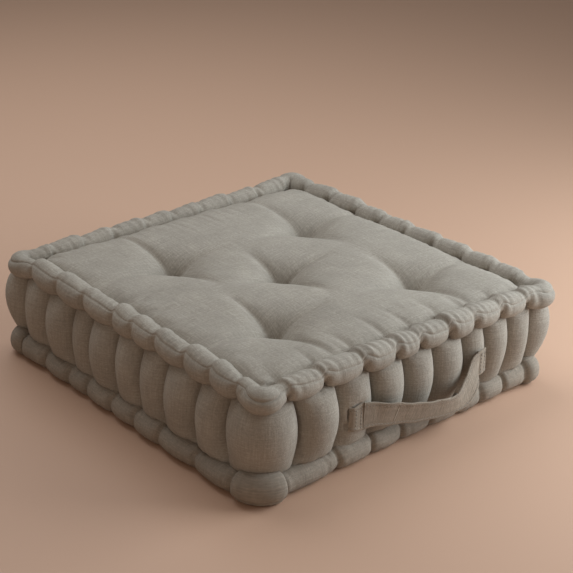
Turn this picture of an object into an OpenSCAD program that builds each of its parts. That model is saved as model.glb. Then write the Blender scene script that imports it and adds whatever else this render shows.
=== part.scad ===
/* [Cushion] */
// Width and depth over the rolled edges
cushion_w = 500; // [440:10:600]
// Height over the rolled edges
cushion_h = 145; // [130:5:180]
// Thickness of the cloth with the fibre that clings to it
cloth_t = 2; // [1:0.5:3]

/* [Rolled edges] */
// Diameter of the rope-like edge roll
roll_d = 30; // [26:1:34]
// How far each stitch draws the roll in
roll_pinch = 3; // [2:0.5:4]
// Length of the taper beside each stitch
roll_taper = 9; // [6:1:12]
// How far the corner ears stand out past the rolls
ear_out = 3; // [0:1:5]

/* [Fluted side] */
// Flutes between two corner columns
flutes = 8; // [6:1:10]
// Distance from one valley to the next
flute_pitch = 48; // [38:1:50]
// Radius of each flute
flute_r = 27; // [26:1:32]
// Radius of the corner columns
column_r = 33; // [30:1:36]

/* [Tufts] */
// Distance of the four outer tufts from the centre, along each side
tuft_off = 110; // [80:5:115]
// Radius of a tuft hollow where it leaves the panel
tuft_r = 25; // [20:1:26]
// Depth of the tuft hollows in the top panel
tuft_top_depth = 34; // [20:1:40]
// Depth of the tuft hollows in the bottom panel
tuft_bottom_depth = 22; // [14:1:30]
// Diameter of the tufting twine
twine_d = 2; // [1.5:0.5:3]

/* [Handle] */
// Width of the folded strap
strap_w = 35; // [30:1:38]
// Thickness of the folded strap
strap_t = 3; // [2:0.5:3]
// Length of the sewn end tabs
tab_len = 16; // [12:1:20]

/* [Hidden] */
$fn = 48;

linen = [0.60, 0.575, 0.53];
linen_dark = [0.53, 0.50, 0.46];
fibre = [0.90, 0.88, 0.82];
thread_colour = [0.50, 0.47, 0.42];

gap = 0.3;                                  // clearance between neighbouring soft solids
roll_r = roll_d / 2;
roll_c = cushion_w / 2 - roll_r;            // centre line of the rolls, from the middle
crest = cushion_w / 2 - 0.5;                // outermost line of the flutes
valley_end = flutes * flute_pitch / 2;      // the valleys run from -valley_end to valley_end
roll_end = roll_c - roll_r - gap;           // where the left and right rolls butt the front and back ones
panel_half = roll_end - gap;                // the panels reach the rolls' inner side
panel_t = 3;
panel_top_z = cushion_h - 5;
boxing_z = [roll_d + gap, cushion_h - roll_d - gap];
thread_r = 0.6;
loop_r = roll_r - roll_pinch + 1;           // stitch loops lie in the rolls' pinches
tuft_floor_r = 5;
knot_r = 3.2;

// The tufts: which way each lies from the centre, and how far the hand that tied it missed its place
tufts = [
    [[0, 0], [0, 0]], [[-1, -1], [2, 2]], [[1, -1], [12, -3]], [[-1, 1], [16, -9]], [[1, 1], [16, -16]]
];

// The side walls, and where each one faces: turn about Z from the front
FRONT = 0;
RIGHT = 90;
BACK = 180;
LEFT = 270;

// Edges of the strap's free loop, from its left tab to its right one: it stands off and droops
strap_upper = [
    [-92, -251.3, 84], [-78, -254, 83], [-60, -259.5, 78], [-38, -264, 73], [-14, -268, 68], [15, -270, 63],
    [39, -269, 59], [57, -265, 62], [70, -261, 69], [81, -257, 79], [92, -253, 87], [105, -251.3, 90]
];
strap_lower = [
    [-92, -251.3, 49], [-80, -255, 48], [-63, -258.5, 44], [-41, -262, 39], [-16, -265, 34], [15, -267, 29],
    [45, -267, 25], [67, -268, 27], [83, -267, 35], [95, -263, 46], [101, -258, 53], [105, -251.3, 55]
];
strap_steps = 3;                            // rings between two of those points
tab_left_z = 49;
tab_right_z = 55;

// --- helpers ---

// One fat stretch of roll along +X, drawn in at both ends
module roll_segment(len, r) {
    taper = min(roll_taper, len / 3);
    rotate([0, 90, 0]) rotate_extrude()
        polygon([[0, 0], [r - roll_pinch, 0], [r, taper], [r, len - taper], [r - roll_pinch, len], [0, len]]);
}

// A whole roll of radius r along X, centred: its ends are square at +-reach, or swell past it into ears
module roll_run(r, reach, ears) {
    for (i = [0 : flutes - 1])
        translate([i * flute_pitch - valley_end, 0, 0]) roll_segment(flute_pitch, r);
    for (side = [0, 1]) mirror([side, 0, 0]) translate([valley_end, 0, 0]) rotate([0, 90, 0])
        rotate_extrude() polygon(concat(
            [[0, 0], [r - roll_pinch, 0], [r, roll_taper]],
            ears ? [for (a = [0 : 18 : 90]) [r * cos(a), reach + ear_out - valley_end + r * sin(a)]]
                 : [[r, reach - valley_end], [0, reach - valley_end]]));
}

// Cloth tube of one roll; the front and back ones carry the corner ears
module roll_tube(turn, z, ears) {
    reach = ears ? roll_c : roll_end;
    rotate([0, 0, turn]) translate([0, -roll_c, z]) difference() {
        roll_run(roll_r, reach, ears);
        roll_run(roll_r - cloth_t, reach + (ears ? 0 : 1), ears);
    }
}

// Rod of fibre inside each roll of one level
module wadding(z) {
    for (turn = [FRONT, RIGHT, BACK, LEFT]) {
        ears = turn == FRONT || turn == BACK;
        rotate([0, 0, turn]) translate([0, -roll_c, z])
            roll_run(roll_r - cloth_t - gap, ears ? roll_c : roll_end, ears);
    }
}

// Loops of twine round one roll, one in each pinch
module roll_stitches(turn, z) {
    for (i = [0 : flutes])
        rotate([0, 0, turn]) translate([i * flute_pitch - valley_end, -roll_c, z])
            rotate([0, 90, 0]) rotate_extrude() translate([loop_r, 0]) circle(r = thread_r);
}

// Plan outline of the fluted sides, drawn in by inset
module side_outline(inset) {
    square(2 * (crest - flute_r), center = true);
    for (turn = [FRONT, RIGHT, BACK, LEFT]) rotate([0, 0, turn]) {
        for (i = [0 : flutes - 1])
            translate([(i + 0.5) * flute_pitch - valley_end, -(crest - flute_r)]) circle(r = flute_r - inset);
        translate([-(crest - column_r), -(crest - column_r)]) circle(r = column_r - inset);
    }
}

// Fluted wall all round, a shell of cloth
module boxing_ring() {
    translate([0, 0, boxing_z[0]]) linear_extrude(boxing_z[1] - boxing_z[0]) difference() {
        side_outline(0);
        side_outline(cloth_t);
    }
}

// Half of the ring: the cut runs over the left and right corner columns
module boxing_half(side) {
    intersection() {
        boxing_ring();
        rotate([0, 0, -45]) translate([0, side * (cushion_w + gap) / 2, cushion_h / 2])
            cube([2 * cushion_w, cushion_w, cushion_h], center = true);
    }
}

// Where two flutes of the same size meet, as a distance from the middle
function valley_depth() = crest - flute_r + sqrt(pow(flute_r, 2) - pow(flute_pitch / 2, 2));

// Where the last flute meets the corner column: x and distance from the middle
function column_valley() =
    let (a = [valley_end - flute_pitch / 2, crest - flute_r], b = [crest - column_r, crest - column_r],
         d = norm(b - a), along = (pow(flute_r, 2) - pow(column_r, 2) + d * d) / (2 * d),
         out = sqrt(pow(flute_r, 2) - along * along), u = (b - a) / d)
    a + along * u + out * [-u[1], u[0]];

// Threads that hold the flutes apart, one standing in each valley
module valley_stitches(turn) {
    clear = 3 * thread_r;
    height = boxing_z[1] - boxing_z[0] - 2;
    rotate([0, 0, turn]) translate([0, 0, boxing_z[0] + 1]) {
        for (i = [1 : flutes - 1])
            translate([i * flute_pitch - valley_end, -valley_depth() - clear, 0])
                cylinder(r = thread_r, h = height);
        for (side = [-1, 1])
            translate([side * column_valley()[0], -column_valley()[1] - clear, 0])
                cylinder(r = thread_r, h = height);
    }
}

// The seam line along the outer crest of all four rolls of one level
module seam_thread(z) {
    for (turn = [FRONT, RIGHT, BACK, LEFT]) rotate([0, 0, turn])
        translate([-valley_end, -cushion_w / 2 - thread_r - 0.1, z]) rotate([0, 90, 0])
            cylinder(r = thread_r, h = 2 * valley_end);
}

function tuft_at(i) = let (p = tufts[i][0] * tuft_off + tufts[i][1]) [p[0], p[1], 0];

// Places its children at the five tufts
module at_tufts() {
    for (i = [0 : len(tufts) - 1]) translate(tuft_at(i)) children();
}

// Funnel that opens upward at z = 0 and is depth deep
module tuft_cone(depth, grow) {
    translate([0, 0, -depth - grow])
        cylinder(r1 = tuft_floor_r + grow, r2 = tuft_r + grow, h = depth + grow);
}

// A square panel whose outer face is z = 0 and looks up, drawn down into five hollows
module panel(depth) {
    difference() {
        union() {
            translate([-panel_half, -panel_half, -panel_t]) cube([2 * panel_half, 2 * panel_half, panel_t]);
            at_tufts() tuft_cone(depth, panel_t);
        }
        at_tufts() {
            translate([0, 0, 0.01]) tuft_cone(depth, 0);
            translate([0, 0, -depth - 2 * panel_t]) cylinder(r = twine_d / 2 + gap, h = 3 * panel_t);
        }
        translate([-cushion_w, -cushion_w, 0]) cube([2 * cushion_w, 2 * cushion_w, 1]);
    }
}

// Room that a panel takes out of the filling
module panel_room(depth) {
    at_tufts() tuft_cone(depth, panel_t + gap);
}

// Twine through the cushion at tuft i, with a knot at each end
module tuft_twine(i) {
    low = tuft_bottom_depth - knot_r;
    high = panel_top_z - tuft_top_depth + knot_r;
    color(thread_colour) translate(tuft_at(i)) {
        translate([0, 0, low]) cylinder(r = twine_d / 2, h = high - low);
        for (z = [low, high]) translate([0, 0, z]) sphere(knot_r);
    }
}

function mix(a, b, t) = a + (b - a) * t;

// Point t (0 to 1 and beyond, in stations) along a list of points, on a Catmull-Rom curve
function on_curve(pts, i, t) =
    let (last = len(pts) - 1, p0 = pts[max(i - 1, 0)], p1 = pts[i],
         p2 = pts[min(i + 1, last)], p3 = pts[min(i + 2, last)])
    0.5 * (2 * p1 + (p2 - p0) * t + (2 * p0 - 5 * p1 + 4 * p2 - p3) * t * t
           + (3 * p1 - p0 - 3 * p2 + p3) * t * t * t);

// All the points of one edge
function edge_points(pts) = concat(
    [for (i = [0 : len(pts) - 2], k = [0 : strap_steps - 1]) on_curve(pts, i, k / strap_steps)],
    [pts[len(pts) - 1]]);

function unit(v) = v / norm(v);

// Four corners of the strap's section at ring i, for its upper and lower edge points
function strap_ring(up, low, i) =
    let (last = len(up) - 1, along = mix(up[min(i + 1, last)], low[min(i + 1, last)], 0.5)
                                     - mix(up[max(i - 1, 0)], low[max(i - 1, 0)], 0.5),
         out = unit(cross(unit(along), unit(up[i] - low[i]))) * strap_t / 2,
         flat = (i == 0 || i == last) ? [0, out[1], 0] : out)
    [up[i] + flat, up[i] - flat, low[i] - flat, low[i] + flat];

// --- sub-parts ---

module core_filling() {
    color(fibre) difference() {
        union() {
            translate([0, 0, boxing_z[0]]) linear_extrude(boxing_z[1] - boxing_z[0])
                side_outline(cloth_t + gap);
            translate([-panel_half, -panel_half, panel_t + gap])
                cube([2 * panel_half, 2 * panel_half, panel_top_z - 2 * (panel_t + gap)]);
        }
        translate([0, 0, panel_top_z]) panel_room(tuft_top_depth);
        mirror([0, 0, 1]) panel_room(tuft_bottom_depth);
        at_tufts() cylinder(r = twine_d / 2 + gap, h = cushion_h);
    }
}
module top_panel() { color(linen) translate([0, 0, panel_top_z]) panel(tuft_top_depth); }
module bottom_panel() { color(linen_dark) mirror([0, 0, 1]) panel(tuft_bottom_depth); }
module boxing_front_strip() { color(linen) boxing_half(-1); }
module boxing_rear_strip() { color(linen) boxing_half(1); }

module top_roll(turn) { color(linen) roll_tube(turn, cushion_h - roll_r, turn == FRONT || turn == BACK); }
module bottom_roll(turn) { color(linen_dark) roll_tube(turn, roll_r, turn == FRONT || turn == BACK); }
module top_roll_wadding() { color(fibre) wadding(cushion_h - roll_r); }
module bottom_roll_wadding() { color(fibre) wadding(roll_r); }
module top_stitches(turn) { color(thread_colour) roll_stitches(turn, cushion_h - roll_r); }
module bottom_stitches(turn) { color(thread_colour) roll_stitches(turn, roll_r); }
module side_stitches(turn) { color(thread_colour) valley_stitches(turn); }
module top_seam_thread() { color(thread_colour) seam_thread(cushion_h - roll_r); }
module bottom_seam_thread() { color(thread_colour) seam_thread(roll_r); }

// Sewn end of the strap, flat against the crest of a flute
module handle_tab(x, z) {
    color(linen) translate([x, strap_upper[0][1] - strap_t / 2, z]) cube([tab_len, strap_t, strap_w]);
}
module handle_tab_left() { handle_tab(strap_upper[0][0] - gap - tab_len, tab_left_z); }
module handle_tab_right() { handle_tab(strap_upper[len(strap_upper) - 1][0] + gap, tab_right_z); }

// Two upright rows of tacking stitches on a tab whose near lower corner is at x, z
module tacks(x, z) {
    rows = [4, tab_len - 4];
    count = 7;
    stitch = 3.4;
    color(thread_colour) for (row = rows, i = [0 : count - 1])
        translate([x + row, strap_upper[0][1] - strap_t / 2 - thread_r - 0.1,
                   z + (i + 0.5) * strap_w / count - stitch / 2]) cylinder(r = thread_r, h = stitch);
}
module handle_tacks_left() { tacks(strap_upper[0][0] - gap - tab_len, tab_left_z); }
module handle_tacks_right() { tacks(strap_upper[len(strap_upper) - 1][0] + gap, tab_right_z); }

// Free loop of the strap, which swings about its ends
module handle_strap() {
    up = edge_points(strap_upper);
    low = edge_points(strap_lower);
    rings = len(up);
    points = [for (i = [0 : rings - 1], p = strap_ring(up, low, i)) p];
    sides = [for (i = [0 : rings - 2], k = [0 : 3]) each
        [[4 * i + k, 4 * i + (k + 1) % 4, 4 * i + 4 + k],
         [4 * i + 4 + k, 4 * i + (k + 1) % 4, 4 * i + 4 + (k + 1) % 4]]];
    last = 4 * (rings - 1);
    color(linen) polyhedron(points, concat([[3, 2, 1, 0], [last, last + 1, last + 2, last + 3]], sides));
}

core_filling();
top_panel();
bottom_panel();
boxing_front_strip();
boxing_rear_strip();
top_roll(FRONT);  // top_roll_front
top_roll(RIGHT);  // top_roll_right
top_roll(BACK);  // top_roll_back
top_roll(LEFT);  // top_roll_left
bottom_roll(FRONT);  // bottom_roll_front
bottom_roll(RIGHT);  // bottom_roll_right
bottom_roll(BACK);  // bottom_roll_back
bottom_roll(LEFT);  // bottom_roll_left
top_roll_wadding();
bottom_roll_wadding();
top_stitches(FRONT);  // top_stitches_front
top_stitches(RIGHT);  // top_stitches_right
top_stitches(BACK);  // top_stitches_back
top_stitches(LEFT);  // top_stitches_left
bottom_stitches(FRONT);  // bottom_stitches_front
bottom_stitches(RIGHT);  // bottom_stitches_right
bottom_stitches(BACK);  // bottom_stitches_back
bottom_stitches(LEFT);  // bottom_stitches_left
side_stitches(FRONT);  // valley_stitches_front
side_stitches(RIGHT);  // valley_stitches_right
side_stitches(BACK);  // valley_stitches_back
side_stitches(LEFT);  // valley_stitches_left
top_seam_thread();
bottom_seam_thread();
tuft_twine(0);  // tuft_twine_centre
tuft_twine(1);  // tuft_twine_front_left
tuft_twine(2);  // tuft_twine_front_right
tuft_twine(3);  // tuft_twine_back_left
tuft_twine(4);  // tuft_twine_back_right
handle_tab_left();
handle_tab_right();
handle_tacks_left();
handle_tacks_right();
handle_strap();
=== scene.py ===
"""Looks of a tufted floor cushion: its cloth is inflated over tied tufts, stitched rolls and fluted sides."""

import math

import bpy
import numpy as np
from mathutils import Matrix, Vector


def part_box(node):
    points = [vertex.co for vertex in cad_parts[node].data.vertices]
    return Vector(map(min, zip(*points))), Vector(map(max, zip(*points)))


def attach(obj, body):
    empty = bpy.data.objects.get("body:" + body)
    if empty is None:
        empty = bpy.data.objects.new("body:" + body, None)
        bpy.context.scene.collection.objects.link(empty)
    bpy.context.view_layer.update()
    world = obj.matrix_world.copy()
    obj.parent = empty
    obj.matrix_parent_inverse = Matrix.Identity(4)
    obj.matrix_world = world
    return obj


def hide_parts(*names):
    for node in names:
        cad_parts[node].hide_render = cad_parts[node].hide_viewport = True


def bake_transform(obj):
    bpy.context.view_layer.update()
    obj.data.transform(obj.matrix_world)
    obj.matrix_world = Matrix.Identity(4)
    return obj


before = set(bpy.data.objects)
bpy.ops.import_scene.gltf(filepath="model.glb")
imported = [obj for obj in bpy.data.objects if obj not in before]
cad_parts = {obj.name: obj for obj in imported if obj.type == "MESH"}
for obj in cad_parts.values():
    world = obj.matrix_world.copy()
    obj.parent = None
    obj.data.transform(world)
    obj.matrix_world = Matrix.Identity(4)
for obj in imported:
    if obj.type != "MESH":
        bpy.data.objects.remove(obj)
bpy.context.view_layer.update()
MM = 0.001

# --- camera, floor and light ---

CAMERA_AT = (-1.2377, -1.3393, 0.9394)
CAMERA_YAW, CAMERA_PITCH, CAMERA_ROLL = math.radians(46.96), math.radians(24.35), math.radians(2.55)
LENS_MM = 98.2
FLOOR_HALF = 6.0
FLOOR_COLOUR = (0.56, 0.36, 0.255)
SKY_COLOUR, SKY_STRENGTH = (0.90, 0.84, 0.78), 0.22
LIGHTS_AIM_AT = 0.08                        # height over the floor's middle


def look(yaw, pitch, roll):
    """Rotation of a camera that looks along yaw, down by pitch, and leans by roll."""
    ahead = Vector((math.cos(yaw) * math.cos(pitch), math.sin(yaw) * math.cos(pitch), -math.sin(pitch)))
    right = Vector((math.sin(yaw), -math.cos(yaw), 0))
    up = right.cross(ahead)
    side = right * math.cos(roll) + up * math.sin(roll)
    top = up * math.cos(roll) - right * math.sin(roll)
    return Matrix((side, top, -ahead)).transposed().to_4x4()


def placed(name, data):
    """A new object in the scene that shows a mesh, a camera or a light."""
    made = bpy.data.objects.new(name, data)
    bpy.context.scene.collection.objects.link(made)
    return made


def make_camera():
    data = bpy.data.cameras.new("camera")
    data.lens = LENS_MM
    data.clip_start = 0.05
    data.clip_end = 50
    camera = placed("camera", data)
    camera.matrix_world = Matrix.Translation(CAMERA_AT) @ look(CAMERA_YAW, CAMERA_PITCH, CAMERA_ROLL)
    bpy.context.scene.camera = camera


def make_floor():
    corners = [(FLOOR_HALF * x, FLOOR_HALF * y, 0) for x, y in ((-1, -1), (1, -1), (1, 1), (-1, 1))]
    mesh = bpy.data.meshes.new("floor")
    mesh.from_pydata(corners, [], [(0, 1, 2, 3)])
    paint = bpy.data.materials.new("pale_floor")
    paint.use_nodes = True
    shader = paint.node_tree.nodes["Principled BSDF"]
    shader.inputs["Base Color"].default_value = (*FLOOR_COLOUR, 1)
    shader.inputs["Roughness"].default_value = 0.6
    mesh.materials.append(paint)
    placed("floor", mesh)


def make_light(name, azimuth, elevation, distance, size, power, colour):
    """A square soft light that looks at the cushion. Azimuth 0 is +X, and it turns towards +Y."""
    a, e = math.radians(azimuth), math.radians(elevation)
    away = Vector((math.cos(a) * math.cos(e), math.sin(a) * math.cos(e), math.sin(e)))
    data = bpy.data.lights.new(name, "AREA")
    data.shape = "SQUARE"
    data.size = size
    data.energy = power
    data.color = colour
    light = placed(name, data)
    light.location = Vector((0, 0, LIGHTS_AIM_AT)) + away * distance
    light.rotation_euler = away.to_track_quat("Z", "Y").to_euler()


def make_world():
    world = bpy.data.worlds.new("studio")
    world.use_nodes = True
    background = world.node_tree.nodes["Background"]
    background.inputs["Color"].default_value = (*SKY_COLOUR, 1)
    background.inputs["Strength"].default_value = SKY_STRENGTH
    bpy.context.scene.world = world
    bpy.context.scene.view_settings.view_transform = "Standard"


make_camera()
make_floor()
make_world()
make_light("window", -38, 24, 1.15, 0.9, 15.5, (0.87, 0.95, 1.0))
make_light("sky", 86, 58, 1.7, 1.6, 16.5, (0.95, 0.98, 1.0))
make_light("fill", 215, 24, 3.0, 2.0, 7.5, (1.0, 0.70, 0.48))

# --- cloth solver ---


def runs(n, step, closed):
    """Slices that pair each point of a row of n with the one step further on, in sets that share no point."""
    found = []
    for first in range(2 * step):
        a = slice(first, n - step, 2 * step)
        if len(range(n)[a]):
            found.append((a, slice(first + step, n, 2 * step)))
    if closed and step == 1:
        found.append((slice(n - 1, n), slice(0, 1)))
    return found


class Cloth:
    """A grid of points joined by threads: stiff along the weave both ways, loose on the bias, slow to fold.

    The spares are how much longer the cloth is, each way, than the grid it starts from."""

    SLACK, BIAS_SLACK = 0.5, 0.3        # how hard a thread pushes when it is short, against how hard it pulls
    PASSES, DRAG = 2, 0.9

    def __init__(self, p, closed, free, spare_u, spare_v, shear, bend):
        self.closed = closed
        self.q = np.ascontiguousarray(np.moveaxis(p, 2, 0), dtype=np.float32)
        self.free = free.astype(np.float32)
        self.links = []
        nu, nv = free.shape
        every = slice(None)
        gain_u = np.broadcast_to(1 + np.asarray(spare_u, np.float32), free.shape)
        gain_v = np.broadcast_to(1 + np.asarray(spare_v, np.float32), free.shape)
        both = np.sqrt((gain_u ** 2 + gain_v ** 2) / 2)
        for a, b in runs(nu, 1, closed[0]):
            self.join((a, every), (b, every), gain_u, 1.0, self.SLACK)
        for a, b in runs(nv, 1, closed[1]):
            self.join((every, a), (every, b), gain_v, 1.0, self.SLACK)
        for a, b in runs(nu, 1, False):
            self.join((a, slice(0, nv - 1)), (b, slice(1, nv)), both, shear, self.BIAS_SLACK)
            self.join((a, slice(1, nv)), (b, slice(0, nv - 1)), both, shear, self.BIAS_SLACK)
        for a, b in runs(nu, 2, False):
            self.join((a, every), (b, every), gain_u, bend, 1.0)
        for a, b in runs(nv, 2, False):
            self.join((every, a), (every, b), gain_v, bend, 1.0)

    def join(self, a, b, gain, stiff, slack):
        """Threads between the points in a and those in b, as long as they are apart now times the gain."""
        all_a, all_b = (slice(None), *a), (slice(None), *b)
        d = self.q[all_b] - self.q[all_a]
        rest = np.sqrt((d * d).sum(0)) * (gain[a] + gain[b]) / 2
        wa, wb = self.free[a], self.free[b]
        total = np.maximum(wa + wb, 1e-6)
        self.links.append((all_a, all_b, rest, wa / total, wb / total, stiff, stiff * slack))

    def normals(self):
        """Which way each point of the cloth faces."""
        d = []
        for axis in (1, 2):
            step = np.roll(self.q, -1, axis) - np.roll(self.q, 1, axis)
            if not self.closed[axis - 1]:
                for at, low, high in ((0, 0, 1), (-1, -2, -1)):
                    put = [slice(None)] * 3
                    put[axis] = at
                    step[tuple(put)] = np.take(self.q, high, axis) - np.take(self.q, low, axis)
            d.append(step)
        n = np.cross(d[0], d[1], axis=0)
        return n / (np.sqrt((n * n).sum(0)) + 1e-12)

    def settle(self, push, steps, contact):
        """Lets the filling push the cloth out along its normals until it comes to rest."""
        speed = np.zeros_like(self.q)
        for step in range(steps):
            strength = push * min(1.0, (step + 1) / (0.25 * steps))
            before = self.q.copy()
            speed = self.DRAG * speed + self.normals() * (strength * self.free)
            self.q += np.clip(speed, -MM, MM)
            for _ in range(self.PASSES):
                for a, b, rest, share_a, share_b, stiff, slack in self.links:
                    start, end = self.q[a], self.q[b]
                    d = end - start
                    length = np.sqrt((d * d).sum(0)) + 1e-9
                    over = 1 - rest / length
                    d *= np.where(over > 0, stiff, slack) * over
                    start += d * share_a
                    end -= d * share_b
                contact(self.q)
            speed = self.q - before
        return np.moveaxis(self.q, 0, 2).astype(float)


def smooth(p, closed, free):
    """Moves each free point of a grid half way to the middle of its neighbours, as pressed fibre does."""
    total = np.zeros_like(p)
    for axis in (0, 1):
        for way in (1, -1):
            near = np.roll(p, way, axis)
            if not closed[axis]:
                edge = [slice(None)] * 2
                edge[axis] = 0 if way == 1 else -1
                near[tuple(edge)] = p[tuple(edge)]
            total += near
    return np.where(free[..., None], p + 0.5 * (total / 4 - p), p)


def wander(s, length, seed, waves=24):
    """A smooth random line along a ring of that length, between about -1 and 1."""
    rng = np.random.default_rng(seed)
    k = np.arange(1, waves + 1)
    size = 1 / np.sqrt(k)
    phase = rng.uniform(0, 2 * math.pi, waves)
    line = (size * np.sin(2 * math.pi * np.outer(s, k) / length + phase)).sum(1)
    return line / math.sqrt((size ** 2).sum())


# --- the cushion's own lines ---

SIDES = ("front", "right", "back", "left")
TUFT_NAMES = ("centre", "front_left", "front_right", "back_left", "back_right")
roll_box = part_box("top_roll_right")
TOP_Z = (roll_box[0].z + roll_box[1].z) / 2
ROLL_R = (roll_box[1].z - roll_box[0].z) / 2
ROLL_C = roll_box[1].x - ROLL_R
BASE_Z = ROLL_R
PANEL_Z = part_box("top_panel")[1].z
TUFTS = {name: sum(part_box("tuft_twine_" + name), Vector()) / 2 for name in TUFT_NAMES}
# The twines lean: the pockets in the top lie a little nearer the handle than those underneath.
TOP_TUFTS = {name: at + Vector((-7 * MM, -11 * MM, 0)) for name, at in TUFTS.items()}

# Where the valleys between the flutes lie in mm from the middle of each side, going round anticlockwise.
VALLEYS = {
    "front": (-181, -123, -67, -16, 36, 87, 130, 174, 215),
    "right": (-196, -150, -101, -50, 2, 53, 101, 152, 203),
    "back": (-207, -152, -101, -48, 3, 49, 102, 150, 196),
    "left": (-217, -168, -114, -74, -22, 26, 74, 131, 180),
}
# The stitches that pinch the upper roll miss the valleys by up to half a flute.
PINCHES = {
    "front": (-201, -146, -85, -33, 8, 58, 101, 149, 200),
    "right": (-196, -150, -101, -50, 2, 53, 101, 152, 203),
    "back": (-207, -152, -101, -48, 3, 49, 102, 150, 196),
    "left": (-191, -135, -81, -22, 17, 59, 115, 161, 203),
}
# The lower roll is pinched in line with the valleys, but close in on both sides of the ball at the corner
# between the front and left sides.
TIES = dict(VALLEYS, front=(-211, *VALLEYS["front"][1:]), left=(*VALLEYS["left"][:7], 143, 210))
PER_SIDE = len(VALLEYS["front"])


class Ring:
    """A rounded square path. Distance along it starts in the middle of the front, and runs anticlockwise."""

    def __init__(self, half, corner, stitches):
        self.half, self.corner = half, corner
        self.straight = half - corner
        self.side = 2 * self.straight + corner * math.pi / 2
        self.length = 4 * self.side
        self.valleys = np.array([k * self.side + v * MM for k, at in enumerate(SIDES) for v in stitches[at]])

    def at(self, s):
        """Plan positions and outward directions at distances s."""
        s = np.asarray(s, float) % self.length
        k = np.floor((s + self.straight) / self.side).astype(int) % 4
        t = (s + self.straight) % self.side
        run = np.minimum(t, 2 * self.straight)
        turn = np.maximum(t - 2 * self.straight, 0) / self.corner
        x = run - self.straight + self.corner * np.sin(turn)
        y = -self.half + self.corner * (1 - np.cos(turn))
        a = k * math.pi / 2
        out = a + turn - math.pi / 2
        place = np.stack([np.cos(a) * x - np.sin(a) * y, np.sin(a) * x + np.cos(a) * y], -1)
        return place, np.stack([np.cos(out), np.sin(out)], -1)

    def stations(self, step, swell=0.0):
        """Distances along the ring, evenly spaced between neighbouring valleys, and each valley's index.

        Round a corner the cloth is longer than the ring by swell."""
        s, marks = [], []
        for a, b in zip(self.valleys, np.append(self.valleys[1:], self.valleys[0] + self.length)):
            at_corner = len(marks) % PER_SIDE == PER_SIDE - 1
            count = 2 * max(2, round((b - a + swell * at_corner) / step / 2))
            marks.append(len(s))
            s.extend(a + (b - a) * np.arange(count) / count)
        return np.array(s), np.array(marks)

    def share(self, s):
        """How far each station is between its two valleys, from 0 to 1, and the first valley's index."""
        turn = (np.asarray(s) - self.valleys[0]) % self.length
        ends = np.append(self.valleys - self.valleys[0], self.length)
        k = np.clip(np.searchsorted(ends, turn + 1e-9, side="right") - 1, 0, len(ends) - 2)
        return (turn - ends[k]) / (ends[k + 1] - ends[k]), k

    def from_corner(self, s):
        """Distance of each station from the middle of the nearest corner, negative before it."""
        return (np.asarray(s) % self.side) - self.side / 2


# --- meshes ---


def unit(v):
    """Vectors along the last axis, made one long."""
    return v / np.linalg.norm(v, axis=-1, keepdims=True)


def travelled(line):
    """How far along a line each of its points is."""
    return np.concatenate([[0], np.cumsum(np.linalg.norm(np.diff(line, axis=0), axis=1))])


def add_mesh(name, points, faces, flat=None):
    """A smooth mesh. flat holds a place on the flat cloth, in metres, for each corner of each face."""
    mesh = bpy.data.meshes.new(name)
    mesh.from_pydata(points.tolist(), [], faces)
    if flat is not None:
        layer = mesh.uv_layers.new(name="cloth")
        layer.data.foreach_set("uv", np.asarray(flat, np.float32).ravel())
    mesh.polygons.foreach_set("use_smooth", np.ones(len(mesh.polygons), bool))
    return placed(name, mesh)


def grid_faces(nu, nv, closed):
    """The faces of a grid, and the grid place of each of their corners."""
    u, v = np.meshgrid(np.arange(nu - (not closed[0])), np.arange(nv - (not closed[1])), indexing="ij")
    corners = np.stack([np.stack([u + du, v + dv], -1) for du, dv in ((0, 0), (1, 0), (1, 1), (0, 1))], -2)
    corners = corners.reshape(-1, 4, 2)
    return (corners[..., 0] % nu) * nv + corners[..., 1] % nv, corners


def grid_object(name, p, cloth, closed=(False, False), thick=0.0):
    """A piece of cloth from a grid of points. cloth holds each point's place on the flat cloth, in metres."""
    faces, corners = grid_faces(*p.shape[:2], closed)
    for axis in (0, 1):
        if closed[axis]:
            step = np.take(cloth, [-1], axis) - np.take(cloth, [-2], axis)
            cloth = np.concatenate([cloth, np.take(cloth, [-1], axis) + step], axis)
    flat = cloth[corners[..., 0], corners[..., 1]].reshape(-1, 2)
    piece = add_mesh(name, p.reshape(-1, 3), faces.tolist(), flat)
    rounder = piece.modifiers.new("rounder", "SUBSURF")
    rounder.levels = rounder.render_levels = 1
    if thick:
        wall = piece.modifiers.new("thickness", "SOLIDIFY")
        wall.thickness = thick
        wall.offset = -1
        wall.use_even_offset = False
    return piece


def end_fans(rings, sides):
    """Triangles that close a tube's two ends, round two more points that come after its rings."""
    last = (rings - 1) * sides
    fans = []
    for k in range(sides):
        after = (k + 1) % sides
        fans += [[rings * sides, after, k], [rings * sides + 1, last + k, last + after]]
    return fans


def tube(line, radius, sides=6, plies=0, twist=0.0):
    """Points and faces of a round thread along a line, with closed ends.

    With plies, it is twisted from that many strands, by twist radians a metre."""
    n = len(line)
    ahead = np.gradient(line, axis=0)
    ahead /= np.linalg.norm(ahead, axis=1, keepdims=True) + 1e-12
    helper = np.where(np.abs(ahead[:, 2:3]) < 0.9, [[0, 0, 1.0]], [[1.0, 0, 0]])
    a = unit(np.cross(ahead, helper))
    b = np.cross(ahead, a)
    angle = np.arange(sides) / sides * 2 * math.pi
    spin = angle[None, :] + twist * travelled(line)[:, None]
    size = np.full((n, sides), radius)
    if plies:
        size = radius * (0.78 + 0.22 * np.abs(np.cos(angle * plies / 2)))[None, :].repeat(n, 0)
    size[[0, -1]] *= 0.45
    spoke = np.cos(spin)[..., None] * a[:, None] + np.sin(spin)[..., None] * b[:, None]
    rim = line[:, None] + size[..., None] * spoke
    points = np.concatenate([rim.reshape(-1, 3), line[:1], line[-1:]])
    return points, grid_faces(n, sides, (False, True))[0].tolist() + end_fans(n, sides)


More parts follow.
